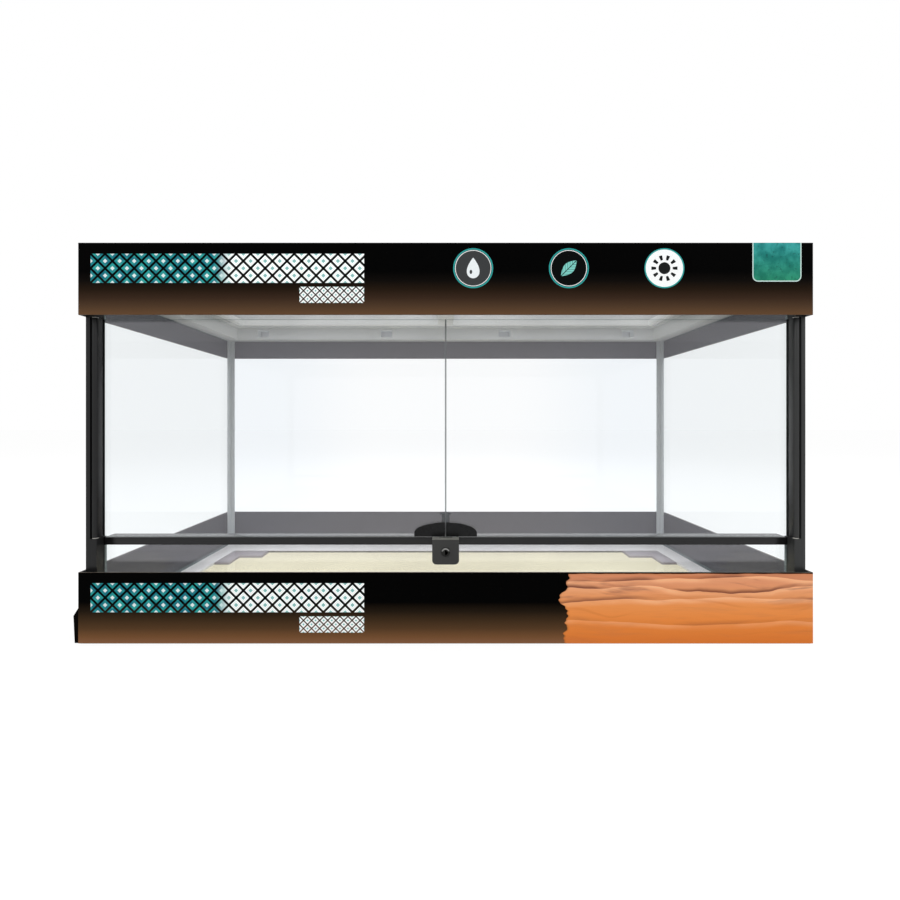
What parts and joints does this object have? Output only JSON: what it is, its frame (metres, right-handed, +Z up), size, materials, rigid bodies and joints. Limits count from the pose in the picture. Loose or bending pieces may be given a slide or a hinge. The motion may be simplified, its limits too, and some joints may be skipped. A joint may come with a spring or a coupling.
{
  "type": "reptile terrarium",
  "caption": "Front-opening glass terrarium with black plastic frames, two hinged glass doors, a lock, a lift-off mesh lid with feeding hatches and sliding cable gates.",
  "frame": {"origin": "on the table, at the middle of the footprint", "axes": "+X to the right of someone who faces the doors, +Y towards the back, +Z up"},
  "size_m": [0.9162, 0.46, 0.496],
  "materials": {
    "frame_plastic": "moulded, fine grain",
    "trim_plastic": "satin extrusion",
    "handle_plastic": "satin",
    "liner_plastic": "satin",
    "gusset_plastic": "matt",
    "foam": "fine closed-cell foam",
    "pane_glass": "clear float glass",
    "bond": "matt sealant",
    "bar_plastic": "satin",
    "bush_plastic": "nylon",
    "steel": "brushed",
    "lid_plastic": "moulded, fine grain",
    "mesh_wire": "woven wire with a pale grey coating",
    "latch_plastic": "moulded",
    "gate_plastic": "moulded",
    "card_print": "printed, satin varnish",
    "card_black": "printed, satin varnish"
  },
  "bodies": {
    "root": {"base_frame": "frame_plastic", "floor_rim": "liner_plastic", "corner_gussets": "gusset_plastic", "floor_panel": "foam", "floor_glass": "pane_glass", "lower_bond_strips": "bond", "left_glass": "pane_glass", "right_glass": "pane_glass", "back_glass": "pane_glass", "front_lower_glass": "pane_glass", "front_upper_glass": "pane_glass", "front_left_post": "trim_plastic", "front_right_post": "trim_plastic", "hinge_bushes": "bush_plastic", "rear_corner_bars": "bar_plastic", "sill_rail": "trim_plastic", "lock_body": "trim_plastic", "top_frame": "frame_plastic", "rear_rails": "frame_plastic", "rear_piers": "frame_plastic", "top_deck": "frame_plastic", "gate_guides": "frame_plastic", "upper_bond_strips": "bond", "top_flange": "liner_plastic", "top_riser": "liner_plastic", "lid_seat": "liner_plastic", "port_sleeves": "liner_plastic", "upper_band": "card_print", "lower_band": "card_print", "band_end_tab": "card_black"},
    "left_door": {"left_door_glass": "pane_glass", "left_door_stile": "trim_plastic", "left_door_handle": "handle_plastic", "left_hinge_pins": "steel"},
    "right_door": {"right_door_glass": "pane_glass", "right_door_stile": "trim_plastic", "right_door_handle": "handle_plastic", "right_hinge_pins": "steel", "door_seal": "bond"},
    "lock_barrel": {"lock_barrel": "steel"},
    "lock_bolt": {"lock_bolt": "steel"},
    "lid": {"lid_frame": "lid_plastic", "lid_mesh_left": "mesh_wire", "lid_mesh_right": "mesh_wire"},
    "left_hatch": {"left_hatch_frame": "lid_plastic", "left_hatch_mesh": "mesh_wire", "left_hatch_pins": "steel"},
    "right_hatch": {"right_hatch_frame": "lid_plastic", "right_hatch_mesh": "mesh_wire", "right_hatch_pins": "steel"},
    "lid_latch_1": {"lid_latch_1": "latch_plastic"},
    "lid_latch_2": {"lid_latch_2": "latch_plastic"},
    "lid_latch_3": {"lid_latch_3": "latch_plastic"},
    "lid_latch_4": {"lid_latch_4": "latch_plastic"},
    "cable_gate_1": {"cable_gate_1": "gate_plastic"},
    "cable_gate_2": {"cable_gate_2": "gate_plastic"},
    "cable_gate_3": {"cable_gate_3": "gate_plastic"},
    "cable_gate_4": {"cable_gate_4": "gate_plastic"}
  },
  "joints": [
    {"name": "left_door_hinge", "type": "hinge", "parent": "root", "child": "left_door", "pos_m": [-0.44255, -0.2154, 0.1283], "axis": [0, 0, -1], "range_deg": [0, 120]},
    {"name": "right_door_hinge", "type": "hinge", "parent": "root", "child": "right_door", "pos_m": [0.44255, -0.2154, 0.1283], "axis": [0, 0, 1], "range_deg": [0, 120]},
    {"name": "lock_turn", "type": "hinge", "parent": "root", "child": "lock_barrel", "pos_m": [0, -0.22, 0.1122], "axis": [0, -1, 0], "range_deg": [0, 180]},
    {"name": "lock_bolt_lift", "type": "slide", "parent": "root", "child": "lock_bolt", "axis": [0, 0, 1], "range_m": [0, 0.0088]},
    {"name": "lid_lift", "type": "slide", "parent": "root", "child": "lid", "axis": [0, 0, 1], "range_m": [0, 0.045]},
    {"name": "left_hatch_hinge", "type": "hinge", "parent": "lid", "child": "left_hatch", "pos_m": [-0.095, -0.05765, 0.4849], "axis": [-1, 0, 0], "range_deg": [0, 95]},
    {"name": "right_hatch_hinge", "type": "hinge", "parent": "lid", "child": "right_hatch", "pos_m": [0.095, -0.05765, 0.4849], "axis": [-1, 0, 0], "range_deg": [0, 95]},
    {"name": "latch_1_slide", "type": "slide", "parent": "root", "child": "lid_latch_1", "axis": [0, 1, 0], "range_m": [0, 0.01]},
    {"name": "latch_2_slide", "type": "slide", "parent": "root", "child": "lid_latch_2", "axis": [0, 1, 0], "range_m": [0, 0.01]},
    {"name": "latch_3_slide", "type": "slide", "parent": "root", "child": "lid_latch_3", "axis": [0, -1, 0], "range_m": [0, 0.01]},
    {"name": "latch_4_slide", "type": "slide", "parent": "root", "child": "lid_latch_4", "axis": [0, -1, 0], "range_m": [0, 0.01]},
    {"name": "gate_1_slide", "type": "slide", "parent": "root", "child": "cable_gate_1", "axis": [0, 0, 1], "range_m": [0, 0.018]},
    {"name": "gate_2_slide", "type": "slide", "parent": "root", "child": "cable_gate_2", "axis": [0, 0, 1], "range_m": [0, 0.018]},
    {"name": "gate_3_slide", "type": "slide", "parent": "root", "child": "cable_gate_3", "axis": [0, 0, 1], "range_m": [0, 0.018]},
    {"name": "gate_4_slide", "type": "slide", "parent": "root", "child": "cable_gate_4", "axis": [0, 0, 1], "range_m": [0, 0.018]}
  ],
  "couplings": [
    {"joint": "lock_bolt_lift", "follows": "lock_turn", "m_per_rad": 0.002801}
  ]
}
